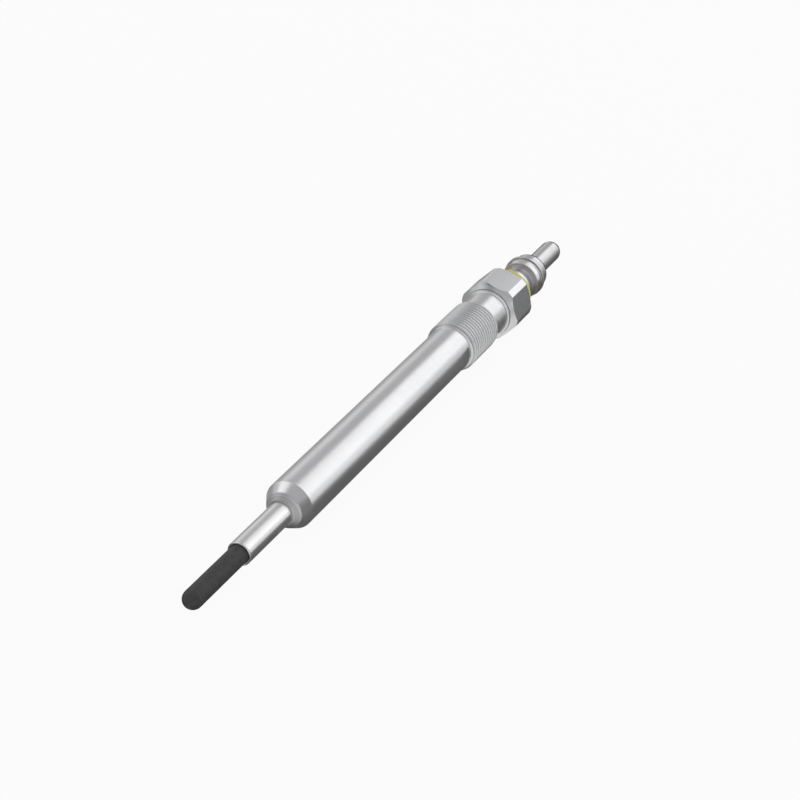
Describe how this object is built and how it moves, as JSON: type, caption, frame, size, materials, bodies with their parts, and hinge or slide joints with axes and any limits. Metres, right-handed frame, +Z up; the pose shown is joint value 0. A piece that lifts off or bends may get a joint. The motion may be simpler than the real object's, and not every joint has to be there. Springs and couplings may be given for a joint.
{
  "type": "diesel glow plug",
  "caption": "Ceramic-tip diesel glow plug: slim turned steel shell with sealing cone, fine thread and hexagon, yellow insulating bush and round push-on terminal pin.",
  "frame": {"origin": "on the floor, under the middle of the plug's length", "axes": "+X along the plug from heater tip to terminal pin as it lies, +Z up, a flat of the hexagon underneath"},
  "size_m": [0.1416, 0.012, 0.0111],
  "materials": {
    "shell_steel": "satin zinc-plated turned steel",
    "sleeve_steel": "smooth bright steel tube",
    "heater_ceramic": "ground matte charcoal ceramic",
    "heating_conductor": "dark conductive ceramic",
    "lead_wire": "dull grey drawn wire",
    "ring_steel": "plain drawn steel",
    "seal_rubber": "matte black rubber",
    "bush_plastic": "satin olive-yellow moulded plastic",
    "terminal_steel": "plated steel with faint violet and straw tints"
  },
  "bodies": {
    "root": {"shell": "shell_steel", "support_sleeve": "sleeve_steel", "heater_rod": "heater_ceramic", "heating_loop": "heating_conductor", "supply_lead": "lead_wire", "ground_lead": "lead_wire", "connection_ring": "ring_steel", "centre_rod": "ring_steel", "o_ring": "seal_rubber", "insulating_bush": "bush_plastic", "terminal": "terminal_steel"}
  },
  "joints": []
}
